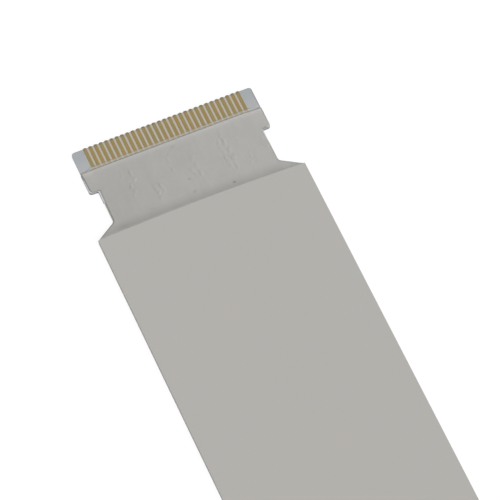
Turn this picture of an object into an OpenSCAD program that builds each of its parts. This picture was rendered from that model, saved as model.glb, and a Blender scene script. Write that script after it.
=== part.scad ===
// Flat flex cable with a latching contact end at both ends.
// X runs across the cable, Y along it and Z up, with the contacts facing up.
// The origin is in the middle of the cable, on the surface that it lies on.

/* [Contacts] */
// Number of conductors
contacts = 30; // [6:1:40]
// Distance from one conductor to the next
pitch = 0.5; // [0.5:0.05:1]
// Width of one conductor
conductor_w = 0.3; // [0.2:0.01:0.35]
// Thickness of one conductor
conductor_t = 0.04; // [0.03:0.005:0.06]
// How far the conductors stand out past the ends of the base film
conductor_overhang = 0.06; // [0:0.01:0.1]
// Length of the contact ends that the top film leaves bare
bare_l = 2.3; // [2:0.05:4]

/* [Outline] */
// Length of the base film, from tip to tip
cable_l = 150; // [60:1:300]
// From the middle of the outermost conductor to the side of the neck
neck_margin = 0.53; // [0.4:0.01:1]
// How far each ear stands out from the neck
ear_reach = 0.78; // [0.4:0.01:1.5]
// From the tip to the back of the ears
ear_end = 4.4; // [4.4:0.1:7]
// How far the sides of the tip sit inside the ears
tip_relief = 0.04; // [0:0.01:0.1]
// Length of the neck, from the ears to the shoulders
neck_l = 3.4; // [2:0.1:6]
// How far each shoulder stands out from the neck
shoulder_w = 1.92; // [1:0.01:4]
// Length of each slanted shoulder
shoulder_l = 1.2; // [0.8:0.1:3]

/* [Corners] */
// Corners of the tip
tip_r = 0.25; // [0.1:0.05:0.4]
// Back corners of the ears
ear_r = 0.25; // [0.1:0.05:0.3]
// Inside corners between the ears and the neck
notch_r = 0.08; // [0.04:0.02:0.1]
// Inside corners between the neck and the shoulders
neck_r = 0.4; // [0.2:0.05:0.8]

/* [Layers] */
// Thickness of the base film and of the top film
film_t = 0.06; // [0.04:0.005:0.1]
// How far the top film's edge sits inside the base film's, from the tip to the shoulders
film_inset = 0.1; // [0:0.01:0.12]
// Length of the glue line in front of the top film
glue_l = 0.32; // [0.1:0.02:0.4]
// Thickness of the glue line over the conductors
glue_t = 0.015; // [0.01:0.005:0.03]
// Thickness of the stiffeners and of the bottom cover, which together carry the base film level
backing_t = 0.25; // [0.15:0.05:0.4]
// How far the stiffeners run on behind the ears
stiffener_tail = 1.2; // [0.4:0.1:1.8]
// Thickness of the top cover
cover_t = 0.2; // [0.1:0.05:0.4]
// How far the middle of each cover's ends reaches past the ends of the shoulders
cover_overhang = 0.1; // [0:0.01:0.3]
// How far the middle of each cover's ends bows out past its corners
cover_bow = 0.2; // [0:0.01:0.4]

/* [Hidden] */
function conductor_name(i) = str("conductor_", i < 10 ? "0" : "", i);
CONDUCTORS = [for (i = [1:contacts]) conductor_name(i)];

// Widths across the cable
row_w = (contacts - 1) * pitch;
neck_w = row_w + 2 * neck_margin;
ear_w = neck_w + 2 * ear_reach;
tip_w = ear_w - 2 * tip_relief;
body_w = neck_w + 2 * shoulder_w;
shoulder_slant = norm([shoulder_w, shoulder_l]);

// Places along the cable, from its middle
tip_y = cable_l / 2;
conductor_reach = tip_y + conductor_overhang;
glue_y = tip_y - bare_l + glue_l;
film_y = tip_y - bare_l;
ear_y = tip_y - ear_end;
stiffener_y = ear_y - stiffener_tail;
neck_y = ear_y - neck_l;
body_y = neck_y - shoulder_l;
cover_y = body_y + cover_overhang;

// Heights above the surface that the cable lies on
base_z = backing_t;
conductor_z = base_z + film_t;
top_film_z = conductor_z + conductor_t;
top_cover_z = top_film_z + film_t;

arc_steps = 6;
bow_steps = 16;
// A cutter runs this far past the face that it opens
cut = 0.02;
conductor_colour = [0.78, 0.62, 0.3];
stiffener_colour = [0.86, 0.88, 0.9];
base_colour = [0.78, 0.81, 0.83];
film_colour = [0.68, 0.67, 0.65];
cover_colour = [0.71, 0.7, 0.68];

function unit(v) = v / norm(v);
function flat(p) = [p.x, p.y];

// The points of an arc of radius r that rounds the corner at p, between the lines to a and to b
function corner(a, p, b, r) =
    let (
        u = unit(a - p),
        v = unit(b - p),
        half = acos(u * v) / 2,
        centre = p + unit(u + v) * r / sin(half),
        start = p + u * r / tan(half) - centre,
        end = p + v * r / tan(half) - centre,
        first = atan2(start.y, start.x),
        turn = atan2(end.y, end.x) - first,
        sweep = turn > 180 ? turn - 360 : turn < -180 ? turn + 360 : turn
    )
    [for (i = [0:arc_steps])
        let (angle = first + sweep * i / arc_steps)
        centre + r * [cos(angle), sin(angle)]];

// An outline through points [x, y, radius], with each corner rounded to its radius
function rounded(points) =
    let (n = len(points))
    [for (i = [0:n - 1]) let (p = points[i]) each p.z == 0
        ? [flat(p)]
        : corner(flat(points[(i + n - 1) % n]), flat(p), flat(points[(i + 1) % n]), p.z)];

function backwards(points) = [for (i = [len(points) - 1:-1:0]) points[i]];
function mirrored_x(points) = [for (p = backwards(points)) [-p.x, p.y, p.z]];
function mirrored_y(points) = [for (p = backwards(points)) [p.x, -p.y, p.z]];

// The right-hand side of the front end, from the tip to the body, for a layer set in by that much:
// its shoulder runs parallel to the full one and meets the same side of the body
function end_side(inset) = [
    [tip_w / 2 - inset, tip_y, tip_r],
    [tip_w / 2 - inset, film_y, 0],
    [ear_w / 2 - inset, film_y - tip_relief, 0],
    [ear_w / 2 - inset, ear_y + inset, ear_r],
    [neck_w / 2 - inset, ear_y + inset, notch_r],
    [neck_w / 2 - inset, neck_y - inset * (shoulder_slant - shoulder_l) / shoulder_w, neck_r],
    [body_w / 2, body_y - inset * shoulder_slant / shoulder_w, 0],
];

// The outline of the whole cable seen from above
module outline(inset = 0) {
    right = concat(end_side(inset), mirrored_y(end_side(inset)));
    polygon(rounded(concat(right, mirrored_x(right))));
}

// A flat bar along the cable, centred across it at x and reaching as far to the front as to the back
module bar(x, w, reach, z, t) {
    translate([x - w / 2, -reach, z])
        cube([w, 2 * reach, t]);
}

function conductor_x(i) = (i - (contacts + 1) / 2) * pitch;

module conductor(i) {
    color(conductor_colour)
        bar(conductor_x(i), conductor_w, conductor_reach, conductor_z, conductor_t);
}

// The groove in the top film that a conductor fills, open downwards
module groove(i) {
    bar(conductor_x(i), conductor_w, conductor_reach, conductor_z - cut, conductor_t + cut);
}

module base_film() {
    color(base_colour)
        translate([0, 0, base_z])
            linear_extrude(film_t)
                outline();
}

// A layer on the base film, in the top film's outline, that reaches as far to the front as to the back
module top_layer(reach, t) {
    translate([0, 0, conductor_z])
        linear_extrude(t)
            intersection() {
                outline(film_inset);
                square([body_w, 2 * reach], center = true);
            }
}

// The top film lies over the conductors and the base film, with its glue line in front of it
module top_film() {
    color(film_colour)
        difference() {
            union() {
                top_layer(glue_y, conductor_t + glue_t);
                top_layer(film_y, conductor_t + film_t);
            }
            for (i = [1:contacts]) groove(i);
        }
}

module stiffener(side) {
    color(stiffener_colour)
        linear_extrude(backing_t)
            intersection() {
                outline();
                translate([-body_w / 2, side > 0 ? stiffener_y : -tip_y])
                    square([body_w, tip_y - stiffener_y]);
            }
}

// The front end of a cover, from its right-hand corner to its left-hand one
COVER_END = [
    for (i = [0:bow_steps])
        let (u = 1 - 2 * i / bow_steps)
        [u * body_w / 2, cover_y - cover_bow * u * u]
];

module cover(z, t) {
    color(cover_colour)
        translate([0, 0, z])
            linear_extrude(t)
                polygon(concat(COVER_END, [for (p = COVER_END) -p]));
}

cover(0, backing_t);  // bottom_cover
stiffener(1);  // front_stiffener
stiffener(-1);  // back_stiffener
base_film();
for (i = [1:contacts])
    conductor(i);
top_film();
cover(top_cover_z, cover_t);  // top_cover
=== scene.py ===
"""Flat flex cable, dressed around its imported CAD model."""

import math

import bmesh
import bpy
import numpy as np
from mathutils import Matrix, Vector


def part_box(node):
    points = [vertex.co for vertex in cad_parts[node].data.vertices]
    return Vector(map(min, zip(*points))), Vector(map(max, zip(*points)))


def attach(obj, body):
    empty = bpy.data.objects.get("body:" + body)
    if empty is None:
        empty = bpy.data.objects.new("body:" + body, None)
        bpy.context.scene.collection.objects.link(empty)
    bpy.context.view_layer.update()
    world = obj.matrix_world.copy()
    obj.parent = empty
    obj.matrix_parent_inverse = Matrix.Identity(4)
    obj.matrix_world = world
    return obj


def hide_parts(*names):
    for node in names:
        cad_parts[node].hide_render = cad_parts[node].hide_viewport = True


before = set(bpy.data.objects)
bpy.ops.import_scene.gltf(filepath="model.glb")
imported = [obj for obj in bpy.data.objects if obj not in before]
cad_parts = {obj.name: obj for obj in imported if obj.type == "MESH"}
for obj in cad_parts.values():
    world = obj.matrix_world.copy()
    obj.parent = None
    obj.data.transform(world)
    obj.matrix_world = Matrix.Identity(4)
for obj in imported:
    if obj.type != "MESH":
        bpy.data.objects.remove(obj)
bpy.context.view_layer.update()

MM = 0.001

# Places on the cable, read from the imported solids
FILM_LOW, FILM_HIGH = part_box("base_film")
_, COVER_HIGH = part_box("top_cover")
TOP_LOW, TOP_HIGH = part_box("top_film")
CONDUCTORS = [n for n in sorted(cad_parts) if n.startswith("conductor_")]
BAR_LOW, BAR_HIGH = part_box(CONDUCTORS[0])
LAST_LOW, LAST_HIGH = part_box(CONDUCTORS[-1])
TIP_Y = FILM_HIGH.y
COVER_START = TIP_Y - COVER_HIGH.y
BAR_W = BAR_HIGH.x - BAR_LOW.x
ROW_X = (LAST_LOW.x + LAST_HIGH.x) / 2
PITCH = 2 * ROW_X / (len(CONDUCTORS) - 1)
# How far behind the tip the top film starts
FILM_START = 2.3 * MM
# The ears and the body reach farther out than this, and the neck doesn't
NECK_LIMIT = 8.2 * MM
# The top film's front edge falls back at its sides: from where to where, and how far, in millimetres
FALL_FROM, FALL_TO = 6.9, 7.7
FALL_LEFT, FALL_RIGHT = 0.02, 0.06


# ---------------------------------------------------------------- camera, cord

def towards(azimuth, elevation):
    """The direction from the cable to a place around it, in degrees, with azimuth 0 behind the cable."""
    a, e = math.radians(azimuth), math.radians(elevation)
    return Vector((math.sin(a) * math.cos(e), -math.cos(a) * math.cos(e), math.sin(e)))


def make_camera():
    """A long lens over the front end, from the left of the cable and behind it."""
    away = towards(-23.64, 60.65)
    distance = 0.3434
    aim = Vector((1.9 * MM, TIP_Y - 15.05 * MM, 0.35 * MM))
    data = bpy.data.cameras.new("camera")
    data.sensor_width = 36
    data.lens = 288
    data.clip_start = 0.01
    camera = bpy.data.objects.new("camera", data)
    camera.location = aim + away * distance
    camera.rotation_euler = away.to_track_quat("Z", "Y").to_euler()
    bpy.context.scene.collection.objects.link(camera)
    bpy.context.scene.camera = camera


# ---------------------------------------------------------------- node helpers

class Tree:
    """Short words for building a node tree."""

    def __init__(self, tree):
        self.tree = tree

    def node(self, kind, **settings):
        made = self.tree.nodes.new(kind)
        for name, value in settings.items():
            setattr(made, name, value)
        return made

    def put(self, socket, value):
        """Sets a socket to a number, a colour or a vector, or links another socket to it."""
        if isinstance(value, bpy.types.NodeSocket):
            self.tree.links.new(value, socket)
        elif value is not None:
            socket.default_value = value

    def math(self, operation, a, b=None, c=None, clamp=False):
        made = self.node("ShaderNodeMath", operation=operation, use_clamp=clamp)
        for socket, value in zip(made.inputs, (a, b, c)):
            self.put(socket, value)
        return made.outputs[0]

    def times(self, *values):
        product = values[0]
        for value in values[1:]:
            product = self.math("MULTIPLY", product, value)
        return product

    def step(self, value, start, end, low=0.0, high=1.0):
        """A smooth step from low at start to high at end."""
        made = self.node("ShaderNodeMapRange", interpolation_type="SMOOTHSTEP")
        for name, given in (
            ("Value", value), ("From Min", start), ("From Max", end), ("To Min", low), ("To Max", high),
        ):
            self.put(made.inputs[name], given)
        return made.outputs["Result"]

    def xyz(self, vector):
        made = self.node("ShaderNodeSeparateXYZ")
        self.put(made.inputs[0], vector)
        return made.outputs

    def vector(self, x=0.0, y=0.0, z=0.0):
        made = self.node("ShaderNodeCombineXYZ")
        for socket, value in zip(made.inputs, (x, y, z)):
            self.put(socket, value)
        return made.outputs[0]

    def stretch(self, vector, scale):
        made = self.node("ShaderNodeVectorMath", operation="MULTIPLY")
        self.put(made.inputs[0], vector)
        self.put(made.inputs[1], scale)
        return made.outputs[0]

    def noise(self, vector, scale, detail=3.0, roughness=0.5):
        made = self.node("ShaderNodeTexNoise")
        given = (("Vector", vector), ("Scale", scale), ("Detail", detail), ("Roughness", roughness))
        for name, value in given:
            self.put(made.inputs[name], value)
        return made.outputs["Fac"]

    def mix(self, factor, a, b):
        made = self.node("ShaderNodeMix", data_type="RGBA")
        self.put(made.inputs[0], factor)
        self.put(made.inputs[6], a)
        self.put(made.inputs[7], b)
        return made.outputs[2]

    def shade(self, colour, amount):
        """The colour made darker or lighter by that share."""
        made = self.node("ShaderNodeVectorMath", operation="SCALE")
        self.put(made.inputs[0], colour)
        self.put(made.inputs["Scale"], amount)
        return made.outputs[0]

    def attribute(self, name):
        return self.node("ShaderNodeAttribute", attribute_name=name).outputs["Fac"]

    def group(self, group, **values):
        made = self.node("ShaderNodeGroup")
        made.node_tree = group
        for name, value in values.items():
            self.put(made.inputs[name.replace("_", " ")], value)
        return made.outputs


def new_group(name, kind, inputs, outputs):
    """A node group with named sockets; gives the group, its tree, its inputs and its output node."""
    group = bpy.data.node_groups.new(name, kind)
    for text, socket, value in inputs:
        made = group.interface.new_socket(text, in_out="INPUT", socket_type="NodeSocket" + socket)
        if value is not None:
            made.default_value = value
    for text, socket in outputs:
        group.interface.new_socket(text, in_out="OUTPUT", socket_type="NodeSocket" + socket)
    tree = Tree(group)
    return group, tree, tree.node("NodeGroupInput").outputs, tree.node("NodeGroupOutput").inputs


def coated(t, geometry, material):
    """The geometry made real and given its material."""
    real = t.node("GeometryNodeRealizeInstances")
    t.put(real.inputs[0], geometry)
    coat = t.node("GeometryNodeSetMaterial")
    t.put(coat.inputs["Geometry"], real.outputs[0])
    t.put(coat.inputs["Material"], material)
    return coat.outputs[0]


def run_nodes(mesh, group, name, **values):
    """Runs a Geometry Nodes group on a mesh and gives the plain mesh that comes out."""
    holder = bpy.data.objects.new(name + "_holder", mesh)
    bpy.context.scene.collection.objects.link(holder)
    modifier = holder.modifiers.new(name, "NODES")
    modifier.node_group = group
    for item in group.interface.items_tree:
        key = item.name.replace(" ", "_")
        if item.in_out == "INPUT" and key in values:
            modifier[item.identifier] = values[key]
    view = bpy.context.evaluated_depsgraph_get()
    made = bpy.data.meshes.new_from_object(holder.evaluated_get(view))
    bpy.data.objects.remove(holder)
    made.name = name
    return made


def srgb(red, green, blue):
    """A colour given from 0 to 255, as the linear colour that a node takes."""
    def linear(v):
        v /= 255
        return v / 12.92 if v <= 0.04045 else ((v + 0.055) / 1.055) ** 2.4
    return (linear(red), linear(green), linear(blue), 1)


# ---------------------------------------------------------------- shared effects

def make_end_distance():
    """How far a point lies from the nearer tip, and how far across the cable, in millimetres."""
    group, t, given, out = new_group(
        "end_distance", "ShaderNodeTree",
        [("Tip", "Float", TIP_Y)],
        [("From Tip", "Float"), ("Across", "Float")],
    )
    place = t.xyz(t.node("ShaderNodeTexCoord").outputs["Object"])
    from_tip = t.math("SUBTRACT", given["Tip"], t.math("ABSOLUTE", place[1]))
    t.put(out["From Tip"], t.times(from_tip, 1000.0))
    t.put(out["Across"], t.times(place[0], 1000.0))
    return group


def make_film_grain():
    """The faint cloudiness and fine grain of rolled plastic film, drawn out along the cable."""
    group, t, given, out = new_group(
        "film_grain", "ShaderNodeTree",
        [("Colour", "Color", (0.5, 0.5, 0.5, 1)), ("Cloud", "Float", 0.02), ("Grain", "Float", 0.02),
         ("Grain Scale", "Float", 6000.0)],
        [("Colour", "Color"), ("Height", "Float"), ("Mask", "Float")],
    )
    place = t.node("ShaderNodeTexCoord").outputs["Object"]
    drawn = t.stretch(place, (1, 0.3, 1))
    cloud = t.noise(drawn, 260.0, 3.0)
    grain = t.noise(drawn, given["Grain Scale"], 2.0)
    tone = t.math("ADD",
                  t.times(t.math("SUBTRACT", cloud, 0.5), given["Cloud"]),
                  t.times(t.math("SUBTRACT", grain, 0.5), given["Grain"]))
    t.put(out["Colour"], t.shade(given["Colour"], t.math("MULTIPLY_ADD", tone, 2.0, 1.0)))
    t.put(out["Height"], grain)
    t.put(out["Mask"], cloud)
    return group


def make_cut_edge():
    """A mask of the upright faces, where the sheet was die-cut."""
    group, t, given, out = new_group("cut_edge", "ShaderNodeTree", [], [("Mask", "Float")])
    normal = t.xyz(t.node("ShaderNodeNewGeometry").outputs["True Normal"])
    t.put(out["Mask"], t.step(t.math("ABSOLUTE", normal[2]), 0.7, 0.4))
    return group


def new_material(name):
    material = bpy.data.materials.new(name)
    material.use_nodes = True
    material.node_tree.nodes.clear()
    t = Tree(material.node_tree)
    shader = t.node("ShaderNodeBsdfPrincipled")
    t.put(t.node("ShaderNodeOutputMaterial").inputs["Surface"], shader.outputs[0])
    return material, t, shader


def bump(t, height, distance):
    made = t.node("ShaderNodeBump")
    made.inputs["Distance"].default_value = distance
    t.put(made.inputs["Height"], height)
    return made.outputs["Normal"]


# ---------------------------------------------------------------- materials

# Places in the materials are in millimetres, from the tip or across, and colours run from 0 to 255

def cover_material(grain, cut):
    """Smooth grey outer film, satin, a shade darker on its cut edges."""
    material, t, shader = new_material("cover_film")
    film = t.group(grain, Colour=srgb(175, 172.6, 168.4), Cloud=0.005, Grain=0.004)
    sides = t.group(cut)["Mask"]
    t.put(shader.inputs["Base Color"], t.mix(sides, film["Colour"], srgb(176, 175, 171)))
    t.put(shader.inputs["Roughness"], t.step(film["Mask"], 0.3, 0.7, 0.5, 0.56))
    shader.inputs["Specular IOR Level"].default_value = 0.3
    t.put(shader.inputs["Normal"], bump(t, film["Height"], 0.4e-6))
    return material


def top_film_material(grain, ends, cut):
    """Thin grey insulation film over the contacts, with draw marks and dust specks, and with painted shade
    at its rim, on its cut walls, toward its left side and before the cover, and painted highlights behind
    its front edge, on the shoulders and at the cover's edge; its crease flanks get both.
    """
    material, t, shader = new_material("top_film")
    place = t.node("ShaderNodeTexCoord").outputs["Object"]
    at = t.group(ends)
    aside = t.math("ABSOLUTE", at["Across"])
    # Painted shade: the film is darker toward its left side, as if it faced away from the light
    tone = t.step(at["Across"], -8.0, 7.5, 0.945, 1.01)
    marks = t.noise(t.stretch(place, (1, 0.12, 1)), 1500.0, 2.0)
    blotches = t.noise(place, 1100.0, 3.0)
    # Painted shade along the film's rim, deeper along the ears' outer edges
    right_ear = t.times(t.step(at["Across"], 7.8, 8.2), t.step(at["From Tip"], 4.2, 3.4))
    left_ear = t.times(t.step(at["Across"], -7.9, -8.3), t.step(at["From Tip"], 4.5, 4.2))
    deep = t.math("MAXIMUM", right_ear, left_ear)
    rim = t.step(t.attribute("rim"), t.math("MULTIPLY_ADD", deep, -0.28, 0.3),
                 t.math("MULTIPLY_ADD", deep, -0.3, 0.9), 1.0, t.math("MULTIPLY_ADD", deep, -0.18, 0.85))
    # Painted highlight in a band just behind the film's front edge
    lip = t.step(at["From Tip"], 2.36, 2.85, 1.07, 1.0)
    on_ear = t.times(t.step(aside, 7.1, 7.7), t.step(at["From Tip"], 4.4, 3.0))
    ear = t.math("MULTIPLY_ADD", on_ear, 0.055, 1.0)
    # Painted shade on the film as it climbs to the cover, then painted light right at the cover's edge that
    # lifts the shadow there
    pressed = t.times(t.step(t.attribute("ramp"), 0.1, 0.88, 1.0, 0.945),
                      t.step(t.attribute("ramp"), 0.82, 0.97, 1.0, 1.17))
    # Painted light on the shoulders, where the shade before the cover fades
    shoulder = t.times(t.step(aside, 7.5, 8.2), t.step(at["From Tip"], 8.0, 8.5))
    on_shoulder = t.math("MULTIPLY_ADD", shoulder, 0.06, 1.0)
    # Painted light and shade on the creases' flanks
    painted_shading = t.math("ADD", t.attribute("flank_shading"), 1.0)
    film = t.group(grain, Colour=srgb(169, 167, 163), Cloud=0.03, Grain=0.02)
    shade = t.times(tone, rim, lip, ear, pressed, on_shoulder, painted_shading,
                    t.step(marks, 0.3, 0.7, 0.985, 1.012), t.step(blotches, 0.3, 0.7, 0.985, 1.015))
    # Dust specks, and two soft marks of painted shade from the table of specks
    specked_and_shaded = t.mix(t.attribute("specks_and_shades"), t.shade(film["Colour"], shade), srgb(92, 88, 84))
    # Painted shade on the film's cut walls
    t.put(shader.inputs["Base Color"], t.mix(t.group(cut)["Mask"], specked_and_shaded, srgb(118, 117, 115)))
    t.put(shader.inputs["Roughness"], t.step(film["Mask"], 0.3, 0.7, 0.42, 0.55))
    shader.inputs["Specular IOR Level"].default_value = 0.35
    t.put(shader.inputs["Normal"], bump(t, marks, 1.5e-6))
    return material


def over_contacts(t):
    """A mask of the places over a conductor, soft at its sides."""
    across = t.xyz(t.node("ShaderNodeTexCoord").outputs["Object"])[0]
    off_middle = t.math("PINGPONG", t.math("ADD", across, ROW_X), PITCH / 2)
    in_row = t.math("LESS_THAN", t.math("ABSOLUTE", across), ROW_X + PITCH / 2)
    return t.times(t.step(off_middle, BAR_W * 0.36, BAR_W * 0.6, 1.0, 0.0), in_row)


def glue_material(grain, ends):
    """The thin glue line in front of the top film: milky between the contacts, with a painted shadow line
    against the film and painted light on the margins.
    """
    material, t, shader = new_material("glue_line")
    at = t.group(ends)
    row = t.step(t.math("ABSOLUTE", at["Across"]), 7.6, 7.4)
    # Partly the glue's own pale colour, partly painted light that cancels the top film's shadow on the
    # margins
    film = t.group(grain, Colour=srgb(174, 175, 176), Cloud=0.03, Grain=0.04)
    body = t.mix(row, film["Colour"], srgb(177, 174, 167))
    plated = t.mix(over_contacts(t), body, srgb(166, 157, 141))
    right = t.step(at["Across"], FALL_FROM, FALL_TO, 0.0, FALL_RIGHT)
    left = t.step(at["Across"], -FALL_FROM, -FALL_TO, 0.0, FALL_LEFT)
    set_back = t.math("ADD", right, left)
    # Painted shadow: a dark line right in front of the top film's edge
    dark = t.step(t.math("SUBTRACT", at["From Tip"], set_back), 2.2, 2.27, 1.0, 0.84)
    t.put(shader.inputs["Base Color"], t.shade(plated, dark))
    t.put(shader.inputs["Roughness"], t.step(film["Mask"], 0.3, 0.7, 0.25, 0.4))
    t.put(shader.inputs["Normal"], bump(t, film["Height"], 1e-6))
    return material


def base_film_material(grain, ends, cut):
    """Bluish base film on its white board: milky between the contacts, pale beside the top film, with
    painted light just in front of the top film and painted shade along its edges and cut walls.
    """
    material, t, shader = new_material("base_film")
    at = t.group(ends)
    across = t.math("ABSOLUTE", at["Across"])
    film = t.group(grain, Colour=srgb(160, 165, 168), Cloud=0.03, Grain=0.02)
    paler = t.mix(t.step(at["From Tip"], 0.4, 1.9), film["Colour"], srgb(169, 170, 171))
    # Painted light that cancels the top film's shadow just in front of its edge
    margin = t.mix(t.step(at["From Tip"], 1.85, 2.2), paler, srgb(179, 180, 181))
    row = t.mix(t.step(across, 7.52, 7.36), margin, srgb(179, 173, 161))
    pale = t.mix(t.step(at["From Tip"], 2.6, 3.2), srgb(162, 164, 166), srgb(206, 207, 208))
    tail = t.mix(t.step(at["From Tip"], 5.4, 6.0), pale, srgb(170, 169, 167))
    laid = t.mix(t.step(at["From Tip"], 2.25, 2.4), row, tail)
    at_tip = t.step(at["From Tip"], 2.4, 2.1)
    # Painted shade along the front edge and, near the tip, along the right edge
    outline = t.math("MAXIMUM", t.step(at["From Tip"], 0.07, 0.02, 0.0, 0.5),
                     t.times(t.step(at["Across"], 8.38, 8.47, 0.0, 0.55), at_tip))
    # Painted shade on the cut walls, deeper behind the tip
    sides = t.mix(at_tip, srgb(120, 123, 126), srgb(150, 152, 154))
    rimmed = t.mix(outline, laid, srgb(120, 123, 126))
    t.put(shader.inputs["Base Color"], t.mix(t.group(cut)["Mask"], rimmed, sides))
    t.put(shader.inputs["Roughness"], t.step(film["Mask"], 0.3, 0.7, 0.28, 0.38))
    shader.inputs["Specular IOR Level"].default_value = 0.4
    t.put(shader.inputs["Normal"], bump(t, film["Height"], 0.6e-6))
    return material


def stiffener_material(grain, ends, cut):
    """White stiffener board, satin, with painted shade on its cut walls, deeper from the ears on."""
    material, t, shader = new_material("stiffener")
    film = t.group(grain, Colour=srgb(222, 225, 228), Cloud=0.02, Grain=0.05)
    # Painted shade on the board's cut walls, deeper from the ears on
    sides = t.mix(t.step(t.group(ends)["From Tip"], 2.1, 2.4), srgb(150, 152, 155), srgb(126, 128, 132))
    t.put(shader.inputs["Base Color"], t.mix(t.group(cut)["Mask"], film["Colour"], sides))
    t.put(shader.inputs["Roughness"], t.step(film["Mask"], 0.3, 0.7, 0.45, 0.55))
    t.put(shader.inputs["Normal"], bump(t, film["Height"], 1e-6))
    return material


def plating_material(ends):
    """Thin gold plating, unevenly tarnished, with fine wiping marks, and painted shade at the cut ends."""
    material, t, shader = new_material("gold_plating")
    place = t.node("ShaderNodeTexCoord").outputs["Object"]
    at = t.group(ends)
    marks = t.noise(t.stretch(place, (1, 0.06, 1)), 9000.0, 2.0)
    tarnish = t.noise(t.stretch(place, (1, 0.5, 1)), 1700.0, 2.0)
    gold = t.mix(t.step(tarnish, 0.35, 0.65), srgb(154, 131, 81), srgb(148, 133, 89))
    wiped = t.shade(gold, t.step(marks, 0.3, 0.7, 0.94, 1.05))
    # Painted shade at the cut ends, which bend down away from the light
    painted_shading = t.step(at["From Tip"], 0.0, 0.2, 1.0, 0.0)
    t.put(shader.inputs["Base Color"], t.mix(painted_shading, wiped, srgb(124, 107, 76)))
    t.put(shader.inputs["Metallic"], t.step(painted_shading, 0.0, 1.0, 0.6, 0.3))
    t.put(shader.inputs["Roughness"], t.step(marks, 0.3, 0.7, 0.34, 0.46))
    t.put(shader.inputs["Normal"], bump(t, marks, 0.8e-6))
    return material


# ---------------------------------------------------------------- flat pieces with a real surface

class Outline:
    """The outline of a node's flat top face at one height, read from its mesh."""

    def __init__(self, node, level):
        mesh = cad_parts[node].data
        uses = {}
        for face in mesh.polygons:
            places = [mesh.vertices[i].co for i in face.vertices]
            if face.normal.z > 0.9 and all(abs(p.z - level) < 1e-6 for p in places):
                ends = [(round(p.x, 7), round(p.y, 7)) for p in places]
                for a, b in zip(ends, ends[1:] + ends[:1]):
                    uses.setdefault(frozenset((a, b)), []).append((a, b))
        rim = [sides[0] for key, sides in uses.items() if len(sides) == 1 and len(key) == 2]
        self.start = np.array([a for a, b in rim])
        self.end = np.array([b for a, b in rim])

    def reach(self, y):
        """How far to the right the outline reaches at that place along the cable."""
        y0, y1 = self.start[:, 1], self.end[:, 1]
        met = (np.minimum(y0, y1) <= y) & (np.maximum(y0, y1) >= y) & (np.abs(y1 - y0) > 1e-9)
        share = (y - y0[met]) / (y1[met] - y0[met])
        return (self.start[met, 0] + share * (self.end[met, 0] - self.start[met, 0])).max()

    def rows(self, spaced):
        """Places along the cable: the outline's corners, two where it turns square, and the given ones."""
        slip = 2e-6
        level = self.start[np.abs(self.start[:, 1] - self.end[:, 1]) < 1e-9][:, 1]
        places = set(np.round(spaced, 7))
        for y in set(self.start[:, 1]):
            places |= {y - slip, y + slip} if np.any(np.abs(level - y) < 1e-9) else {y}
        top, low = self.start[:, 1].max(), self.start[:, 1].min()
        kept = [top - slip / 4]
        for y in sorted((y for y in places if low + slip < y < top - slip), reverse=True):
            if kept[-1] - y > slip / 2:
                kept.append(y)
        return np.array(kept + [low + slip / 4])


def strip_mesh(name, across, along, low, high):
    """A closed strip with a gridded top. The grid runs from left to right and from front to back, and
    across, along and high give its places."""
    across, along, high = np.broadcast_arrays(across, along, high)
    count, columns = across.shape
    last, rear = columns - 1, (count - 1) * columns
    top = np.stack([across, along, high], 2).reshape(-1, 3)
    under, points = {}, []
    for r in range(count):
        for c in range(columns) if r in (0, count - 1) else (0, last):
            under[r, c] = len(top) + len(points)
            points.append((across[r, c], along[r, c], low))
    r, c = np.meshgrid(np.arange(count - 1), np.arange(last), indexing="ij")
    corner = (r * columns + c).ravel()
    faces = np.stack([corner, corner + columns, corner + columns + 1, corner + 1], 1).tolist()
    smooth = len(faces)
    for r in range(count - 1):
        left, right = r * columns, r * columns + last
        faces.append((left, under[r, 0], under[r + 1, 0], left + columns))
        faces.append((right + columns, under[r + 1, last], under[r, last], right))
        ahead = [under[r, c] for c in range(columns) if (r, c) in under]
        behind = [under[r + 1, c] for c in range(last, -1, -1) if (r + 1, c) in under]
        faces.append(ahead + behind)
    for c in range(last):
        faces.append((c, c + 1, under[0, c + 1], under[0, c]))
        faces.append((under[count - 1, c], under[count - 1, c + 1], rear + c + 1, rear + c))
    mesh = bpy.data.meshes.new(name)
    mesh.from_pydata(np.vstack([top, points]).tolist(), [], faces)
    mesh.polygons.foreach_set("use_smooth", [i < smooth for i in range(len(faces))])
    return mesh


def mark(mesh, name, values):
    """Keeps a number for each point of the grid, and 0 for the points under it."""
    whole = np.zeros(len(mesh.vertices), np.float32)
    whole[:values.size] = values.ravel()
    mesh.attributes.new(name, "FLOAT", "POINT").data.foreach_set("value", whole)


def show(mesh, name, slot, *nodes):
    """Shows a finished mesh as a piece that rides with the cable and stands for those CAD nodes."""
    piece = bpy.data.objects.new(name, mesh)
    bpy.context.scene.collection.objects.link(piece)
    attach(piece, "root")
    if nodes:
        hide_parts(*nodes)


# ---------------------------------------------------------------- the top film

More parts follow.
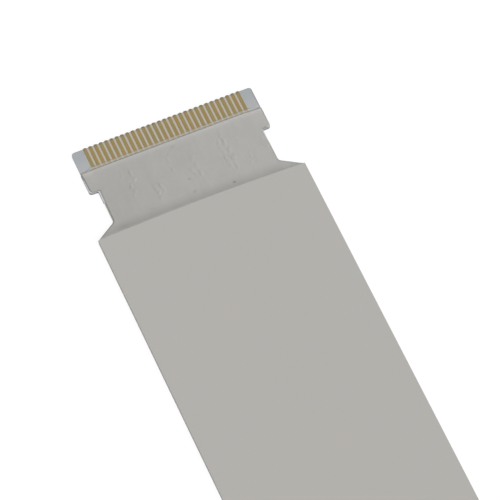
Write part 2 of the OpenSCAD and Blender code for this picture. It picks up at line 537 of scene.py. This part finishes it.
CREASES = (
    # across, from the tip, length, lean, height, all in millimetres
    (-4.6, 3.7, 1.1, 0.1, 0.07),
    (-5.3, 3.5, 0.6, -0.1, 0.05),
    (-4.95, 5.0, 1.1, 0.0, 0.06),
    (-3.2, 5.8, 1.6, 0.25, 0.07),
    (-2.7, 5.7, 1.4, 0.2, 0.07),
    (-1.1, 3.5, 1.9, 0.1, 0.034),
    (-4.6, 7.7, 0.7, 0.9, 0.04),
    (0.3, 5.4, 1.5, 0.6, 0.055),
    (0.9, 3.8, 4.1, 0.3, 0.05),
    (3.6, 3.7, 3.6, 0.1, 0.042),
    (4.15, 3.2, 4.3, 0.15, 0.046),
    (4.5, 4.9, 1.6, 0.0, 0.038),
    (5.3, 4.1, 0.7, 0.1, 0.05),
    (5.9, 6.0, 1.2, -0.5, 0.04),
    (7.3, 5.2, 1.4, 0.0, 0.036),
)

SPECKS_AND_SHADES = (
    # across, from the tip, half width, half length, lean, depth of colour
    (3.35, 8.36, 0.1, 0.08, 0, 0.9),
    (-0.07, 6.5, 0.12, 0.06, -1, 0.5),
    (-0.15, 7.85, 0.15, 0.12, 0.5, 0.3),
    (-0.05, 2.95, 0.05, 0.13, 1.3, 0.3),
    (-0.35, 3.0, 0.06, 0.15, 1.3, 0.34),
    (-0.8, 3.42, 0.05, 0.12, 1.0, 0.26),
    (-1.0, 3.6, 0.05, 0.16, 0.8, 0.2),
    (1.3, 3.35, 0.05, 0.12, 0.6, 0.15),
    # Painted shade: the darkest end of the shade before the cover, at the left shoulder
    (-7.2, 8.6, 0.5, 0.3, 0, 0.1),
    # Painted shade: the dark arc along the right ear's back
    (8.0, 4.31, 0.16, 0.05, 0, 0.45),
)


def bumps(u, v):
    return np.exp(-u ** 2 - v ** 2)


def creases(across, from_tip):
    """The height of the creases, low broken ridges with blisters strung along them, and their painted light
    and shade: a painted highlight on one flank and painted shade on the other."""
    rolls = np.random.RandomState(7)
    usual_height = 0.04
    rise, flank_shading = np.zeros_like(across), np.zeros_like(across)
    for x, start, length, lean, height in CREASES:
        along = (from_tip - start) / length
        off = across - x - lean * along
        fade = np.clip(along * 6, 0, 1) * np.clip((1 - along) * 6, 0, 1)
        broken = fade * (0.5 + 0.5 * np.sin(length * 7 * along + 3 * x))
        strength = height / usual_height
        rise += 0.3 * broken * height * bumps(off / 0.08, 0)
        # Painted shade in the valley beside each broken ridge
        flank_shading -= 0.06 * strength * broken * bumps((off + 0.09) / 0.06, 0)
        count = max(3, round(length / 0.2))
        for i in range(count):
            share = (i + rolls.uniform(0.1, 0.9)) / count
            u = off - rolls.uniform(-0.17, 0.17)
            v = from_tip - start - length * share
            wide, long = rolls.uniform(0.06, 0.1), rolls.uniform(0.07, 0.22)
            swell = rolls.uniform(0.1, 0.6)
            rise += height * swell * bumps(u / wide, v / long)
            # Painted highlight on one flank of each blister and painted shade on the other
            flank_shading += 0.12 * strength * swell * bumps((u - 0.06) / (wide * 0.8), v / long)
            flank_shading -= 0.1 * strength * swell * bumps((u + 0.1) / (wide * 0.8), v / long)
    return rise * MM, flank_shading


def speck_and_shade_depths(across, from_tip):
    total = np.zeros_like(across)
    for x, d, wide, long, lean, depth in SPECKS_AND_SHADES:
        off = from_tip - d
        total = np.maximum(total, depth * bumps((across - x + lean * off) / wide, off / long))
    return total


def make_pressed_film():
    """Lifts a flat film where it was pressed on: the lip, the ramp up to the cover, ripples, creases."""
    group, t, given, out = new_group(
        "pressed_film", "GeometryNodeTree",
        [("Film", "Geometry", None), ("Tip", "Float", TIP_Y), ("Film Start", "Float", FILM_START),
         ("Lip Height", "Float", 0.045 * MM), ("Lip Length", "Float", 0.22 * MM),
         ("Ramp Height", "Float", 0.17 * MM), ("Ramp Lean", "Float", -15.0),
         ("Ripple Height", "Float", 0.008 * MM), ("Rim Drop", "Float", 0.02 * MM),
         ("Material", "Material", None)],
        [("Film", "Geometry")],
    )

    def kept(name):
        read = t.node("GeometryNodeInputNamedAttribute", data_type="FLOAT")
        read.inputs["Name"].default_value = name
        return read.outputs["Attribute"]

    position = t.node("GeometryNodeInputPosition").outputs[0]
    place = t.xyz(position)
    from_tip = t.math("SUBTRACT", given["Tip"], t.math("ABSOLUTE", place[1]))
    behind = t.math("SUBTRACT", from_tip, given["Film Start"])
    lip = t.times(given["Lip Height"],
                  t.math("EXPONENT", t.times(t.math("DIVIDE", behind, given["Lip Length"]), -1.0)))
    lean = t.math("MULTIPLY_ADD", place[0], given["Ramp Lean"], 1.0)
    ramp = t.times(kept("ramp"), kept("ramp"), lean, given["Ramp Height"])
    ripple = t.times(given["Ripple Height"],
                     t.math("SUBTRACT", t.noise(t.stretch(position, (1, 0.35, 1)), 900.0, 3.0), 0.5))
    sink = t.times(kept("rim"), kept("rim"), given["Rim Drop"])
    lift = t.math("ADD", t.math("ADD", lip, ramp), t.math("ADD", ripple, kept("crease")))
    rise = t.times(t.math("SUBTRACT", lift, sink), kept("open"))
    moved = t.node("GeometryNodeSetPosition")
    t.put(moved.inputs["Geometry"], given["Film"])
    t.put(moved.inputs["Offset"], t.vector(0.0, 0.0, rise))
    t.put(out["Film"], coated(t, moved.outputs[0], given["Material"]))
    return group


def make_top_film(material):
    """The top film, laid a little to the right of the base film's outline at the front end."""
    outline = Outline("top_film", TOP_HIGH.z)
    fine, coarse = 0.07 * MM, 0.2 * MM
    hidden = COVER_START + 0.5 * MM
    lip = FILM_START + np.array([0.02, 0.05, 0.09, 0.14]) * MM
    edge = COVER_START + np.arange(-0.04, 0.3, 0.02) * MM
    front = TIP_Y - np.concatenate([lip, np.arange(FILM_START + 0.2 * MM, hidden, fine), edge])
    rear = np.arange(FILM_START + 0.1 * MM, hidden, coarse) - TIP_Y
    rows = outline.rows(np.concatenate([front, rear]))
    reach = np.array([outline.reach(y) for y in rows])
    from_tip = (TIP_Y - np.abs(rows)) / MM

    head = rows > 0
    ear = (reach > NECK_LIMIT) & (from_tip < 5)
    neck = reach < NECK_LIMIT
    # The backs of the film's ears lie a little farther back than in the outline
    moved = np.interp(from_tip, [0, 4.0, 4.3, 4.7, 80], [0, 4.0, 4.37, 4.7, 80])
    rows = np.sign(rows) * (TIP_Y - moved * MM)
    from_tip = (TIP_Y - np.abs(rows)) / MM
    ear_left = np.interp(from_tip, [2.3, 3.0, 4.37], [-0.06, -0.01, 0.02])
    left = reach - np.where(ear & head, ear_left, 0.0) * MM
    left -= np.where(neck & head, np.interp(from_tip, [4.3, 7.8], [0.07, 0.0]), 0.0) * MM
    right = reach + np.where(ear & head, 0.05, 0.0) * MM
    right -= np.where(ear, np.interp(from_tip, [2.3, 2.38], [0.08, 0.0]), 0.0) * MM

    # Even columns in the middle, seven that follow each side, and a few close ones along the rim
    rim_width = 0.09
    inset = np.array([0, 0.02, 0.05, rim_width]) * MM
    middle_reach, columns = 7.35 * MM, 210
    middle = np.linspace(-middle_reach, middle_reach, columns)
    near = np.linspace(0, 1, 8, endpoint=False)[1:]
    flank_left = middle[0] + (-left[:, None] + inset[-1] - middle[0]) * (1 - near)
    flank_right = middle[-1] + (right[:, None] - inset[-1] - middle[-1]) * near
    across = np.hstack([-left[:, None] + inset, flank_left, np.tile(middle, (len(rows), 1)),
                        flank_right, right[:, None] - inset[::-1]])
    falls = [-FALL_TO, -FALL_FROM, FALL_FROM, FALL_TO]
    back_by = np.interp(across / MM, falls, [FALL_LEFT, 0, 0, FALL_RIGHT]) * head[:, None]
    back_by *= np.interp(from_tip, [2.3, 2.8], [1, 0])[:, None]
    mesh = strip_mesh("top_film_flat", across, rows[:, None] - back_by * MM, TOP_LOW.z, TOP_HIGH.z)

    inner = across.shape[1] - 2 * len(inset)
    off_side = np.hstack([inset, np.full(inner, MM), inset[::-1]]) / MM
    off = np.minimum(off_side, (from_tip - FILM_START / MM)[:, None] * 1.6)
    seen = from_tip < hidden / MM
    sign = np.where(head, 1, -1)[:, None]
    places = across / MM * sign, np.repeat(from_tip[:, None], across.shape[1], 1)
    # The film climbs to the cover's bowed front edge, and is flat again just inside it
    cover_bow, ramp_length, closing = 0.2, 1.2, 0.04
    into_cover = from_tip[:, None] - COVER_START / MM - cover_bow * (across / COVER_HIGH.x) ** 2
    mark(mesh, "rim", np.clip(1 - off / rim_width, 0, 1) * seen[:, None])
    mark(mesh, "ramp", np.clip(1 + into_cover / ramp_length, 0, 1))
    mark(mesh, "open", np.clip(1 - into_cover / closing, 0, 1))
    rise, flank_shading = creases(*places)
    mark(mesh, "crease", rise * np.where(head, 1, 0.5)[:, None])
    mark(mesh, "flank_shading", flank_shading * np.where(head, 1, 0.5)[:, None])
    mark(mesh, "specks_and_shades", speck_and_shade_depths(*places) * head[:, None])
    pressed = run_nodes(mesh, make_pressed_film(), "pressed_top_film", Material=material)
    show(pressed, "pressed_top_film", "top_film", "top_film")


def make_glue_lines(material):
    """The glue in front of the top film at both ends, which sinks and runs forward between the contacts."""
    start = FILM_START - 0.32 * MM
    beside = FILM_START - 0.06 * MM
    under_film = FILM_START + 0.12 * MM
    eased = 0.05 * MM
    bed = BAR_LOW.z
    over, between = BAR_HIGH.z + 0.015 * MM, BAR_LOW.z + 0.03 * MM
    on_margin = bed + 0.006 * MM
    over_least = BAR_HIGH.z + 0.003 * MM
    side = Outline("base_film", FILM_HIGH.z).reach(TIP_Y - start) - 0.1 * MM
    steps = np.arange(-ROW_X - PITCH / 2, ROW_X + PITCH / 2 + 1e-9, PITCH / 10)
    across = np.concatenate([[-side, -side + eased], steps, [side - eased, side]])
    off_middle = np.abs((across + ROW_X + PITCH / 2) % PITCH - PITCH / 2)
    held = np.interp(off_middle, [BAR_W * 0.45, BAR_W * 0.65], [1, 0])
    held = held * (np.abs(across) < ROW_X + PITCH / 2)
    share = np.array([0, 0.1, 0.3, 1.0])[:, None]
    in_row = np.abs(across) < ROW_X + PITCH
    rise = np.where(in_row, np.array([0.25, 0.75, 1.0, 1.0])[:, None], 1.0)
    thin = np.where(in_row, between, on_margin)
    top = bed + (thin + (over - thin) * held - bed) * rise
    top = np.maximum(top, np.where(held > 0.5, over_least, bed))
    rolls = np.random.RandomState(3)
    for end, name in ((1, "glue_line_front"), (-1, "glue_line_back")):
        runs = (1 - held) * 0.05 * MM + rolls.uniform(-0.012, 0.012, len(across)) * MM
        ahead = np.where(np.abs(across) < ROW_X + 0.6 * PITCH, start - runs, beside)
        from_tip = ahead * (1 - share) + share * under_film
        order = slice(None, None, end)
        mesh = strip_mesh(name, across[None, :], end * (TIP_Y - from_tip)[order], bed, top[order])
        mesh.materials.append(material)
        show(mesh, name, "top_film")


# ---------------------------------------------------------------- contacts

def bar_mesh():
    """One conductor: eased edges, and ends that are rounded and bent down where they were cut."""
    half, high = BAR_W / 2, BAR_HIGH.z - BAR_LOW.z
    section = [(-1, 0), (-1, 0.6), (-0.9, 0.93), (-0.45, 1), (0.45, 1), (0.9, 0.93), (1, 0.6), (1, 0)]
    # How far from the cut end in millimetres, and the shares of the width and the height that are left
    end = [(0, 0.62, 0.35), (0.02, 0.84, 0.6), (0.06, 0.97, 0.86), (0.13, 1.0, 1.0)]
    stations = [(BAR_HIGH.y - s * MM, w, h) for s, w, h in end]
    stations += [(-y, w, h) for y, w, h in reversed(stations)]
    solid = bmesh.new()
    rings = [[solid.verts.new((x * half * w, y, BAR_LOW.z + z * high * h)) for x, z in section]
             for y, w, h in stations]
    count = len(section)
    for a, b in zip(rings, rings[1:]):
        for i in range(count):
            face = solid.faces.new((a[i], a[(i + 1) % count], b[(i + 1) % count], b[i]))
            face.smooth = i < count - 1
    solid.faces.new(rings[0][::-1])
    solid.faces.new(rings[-1])
    bmesh.ops.recalc_face_normals(solid, faces=solid.faces)
    mesh = bpy.data.meshes.new("contact_bar")
    solid.to_mesh(mesh)
    solid.free()
    return mesh


def make_contact_row():
    """Repeats one contact bar across the cable."""
    group, t, given, out = new_group(
        "contact_row", "GeometryNodeTree",
        [("Bar", "Geometry", None), ("Count", "Int", len(CONDUCTORS)), ("First", "Float", -ROW_X),
         ("Pitch", "Float", PITCH), ("Material", "Material", None)],
        [("Contacts", "Geometry")],
    )
    line = t.node("GeometryNodeMeshLine", mode="OFFSET")
    t.put(line.inputs["Count"], given["Count"])
    t.put(line.inputs["Start Location"], t.vector(given["First"], 0.0, 0.0))
    t.put(line.inputs["Offset"], t.vector(given["Pitch"], 0.0, 0.0))
    repeat = t.node("GeometryNodeInstanceOnPoints")
    t.put(repeat.inputs["Points"], line.outputs[0])
    t.put(repeat.inputs["Instance"], given["Bar"])
    t.put(out["Contacts"], coated(t, repeat.outputs[0], given["Material"]))
    return group


# ---------------------------------------------------------------- studio

def seen_directly(t):
    """A mask of the rays that come from the camera, or by way of a mirror or clear surface."""
    path = t.node("ShaderNodeLightPath").outputs
    return t.math("MAXIMUM", path["Is Camera Ray"],
                  t.math("MAXIMUM", path["Is Glossy Ray"], path["Is Transmission Ray"]))


def make_floor():
    """A pale floor that reads as white where nothing shades it."""
    mesh = bpy.data.meshes.new("floor")
    reach = 4.0
    mesh.from_pydata([(-reach, -reach, 0), (reach, -reach, 0), (reach, reach, 0), (-reach, reach, 0)],
                     [], [(0, 1, 2, 3)])
    floor = bpy.data.objects.new("floor", mesh)
    bpy.context.scene.collection.objects.link(floor)
    material = bpy.data.materials.new("floor")
    material.use_nodes = True
    material.node_tree.nodes.clear()
    t = Tree(material.node_tree)
    plain, pale = t.node("ShaderNodeBsdfDiffuse"), t.node("ShaderNodeBsdfDiffuse")
    plain.inputs["Color"].default_value = (0.8, 0.8, 0.8, 1)
    pale.inputs["Color"].default_value = (0.15, 0.15, 0.15, 1)
    glow = t.node("ShaderNodeEmission")
    glow.inputs["Color"].default_value = (1, 1, 1, 1)
    glow.inputs["Strength"].default_value = 0.89
    both, chosen = t.node("ShaderNodeAddShader"), t.node("ShaderNodeMixShader")
    t.put(both.inputs[0], pale.outputs[0])
    t.put(both.inputs[1], glow.outputs[0])
    t.put(chosen.inputs[0], seen_directly(t))
    t.put(chosen.inputs[1], plain.outputs[0])
    t.put(chosen.inputs[2], both.outputs[0])
    t.put(t.node("ShaderNodeOutputMaterial").inputs["Surface"], chosen.outputs[0])
    mesh.materials.append(material)


def make_world(ambient):
    """A white surround: plain to look at, and softer as a light."""
    world = bpy.data.worlds.new("studio")
    bpy.context.scene.world = world
    world.use_nodes = True
    world.node_tree.nodes.clear()
    t = Tree(world.node_tree)
    shade = t.node("ShaderNodeBackground")
    shade.inputs["Color"].default_value = (1, 1, 1, 1)
    t.put(shade.inputs["Strength"], t.math("MULTIPLY_ADD", seen_directly(t), 1.0 - ambient, ambient))
    t.put(t.node("ShaderNodeOutputWorld").inputs["Surface"], shade.outputs[0])


def make_lamp(name, azimuth, elevation, strength, spread):
    """A wide, distant soft light, so that the whole length of the cable is lit alike."""
    data = bpy.data.lights.new(name, "SUN")
    data.energy = strength
    data.angle = math.radians(spread)
    lamp = bpy.data.objects.new(name, data)
    away = towards(azimuth, elevation)
    lamp.location = away
    lamp.rotation_euler = away.to_track_quat("Z", "Y").to_euler()
    bpy.context.scene.collection.objects.link(lamp)


# ---------------------------------------------------------------- put together

def dress(node, material):
    """Gives a CAD node its material."""
    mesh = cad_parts[node].data
    mesh.materials.clear()
    mesh.materials.append(material)


make_camera()

ends = make_end_distance()
grain = make_film_grain()
cut = make_cut_edge()
cover = cover_material(grain, cut)
board = stiffener_material(grain, ends, cut)
dress("top_cover", cover)
dress("bottom_cover", cover)
dress("front_stiffener", board)
dress("back_stiffener", board)
dress("base_film", base_film_material(grain, ends, cut))
make_top_film(top_film_material(grain, ends, cut))
make_glue_lines(glue_material(grain, ends))
contacts = run_nodes(bar_mesh(), make_contact_row(), "plated_contacts", Material=plating_material(ends))
show(contacts, "plated_contacts", "conductor", *CONDUCTORS)

make_floor()
make_world(0.5)
make_lamp("key", 22, 32, 2.35, 35)
make_lamp("fill", -60, 50, 0.5, 60)

bpy.context.scene.view_settings.view_transform = "Standard"
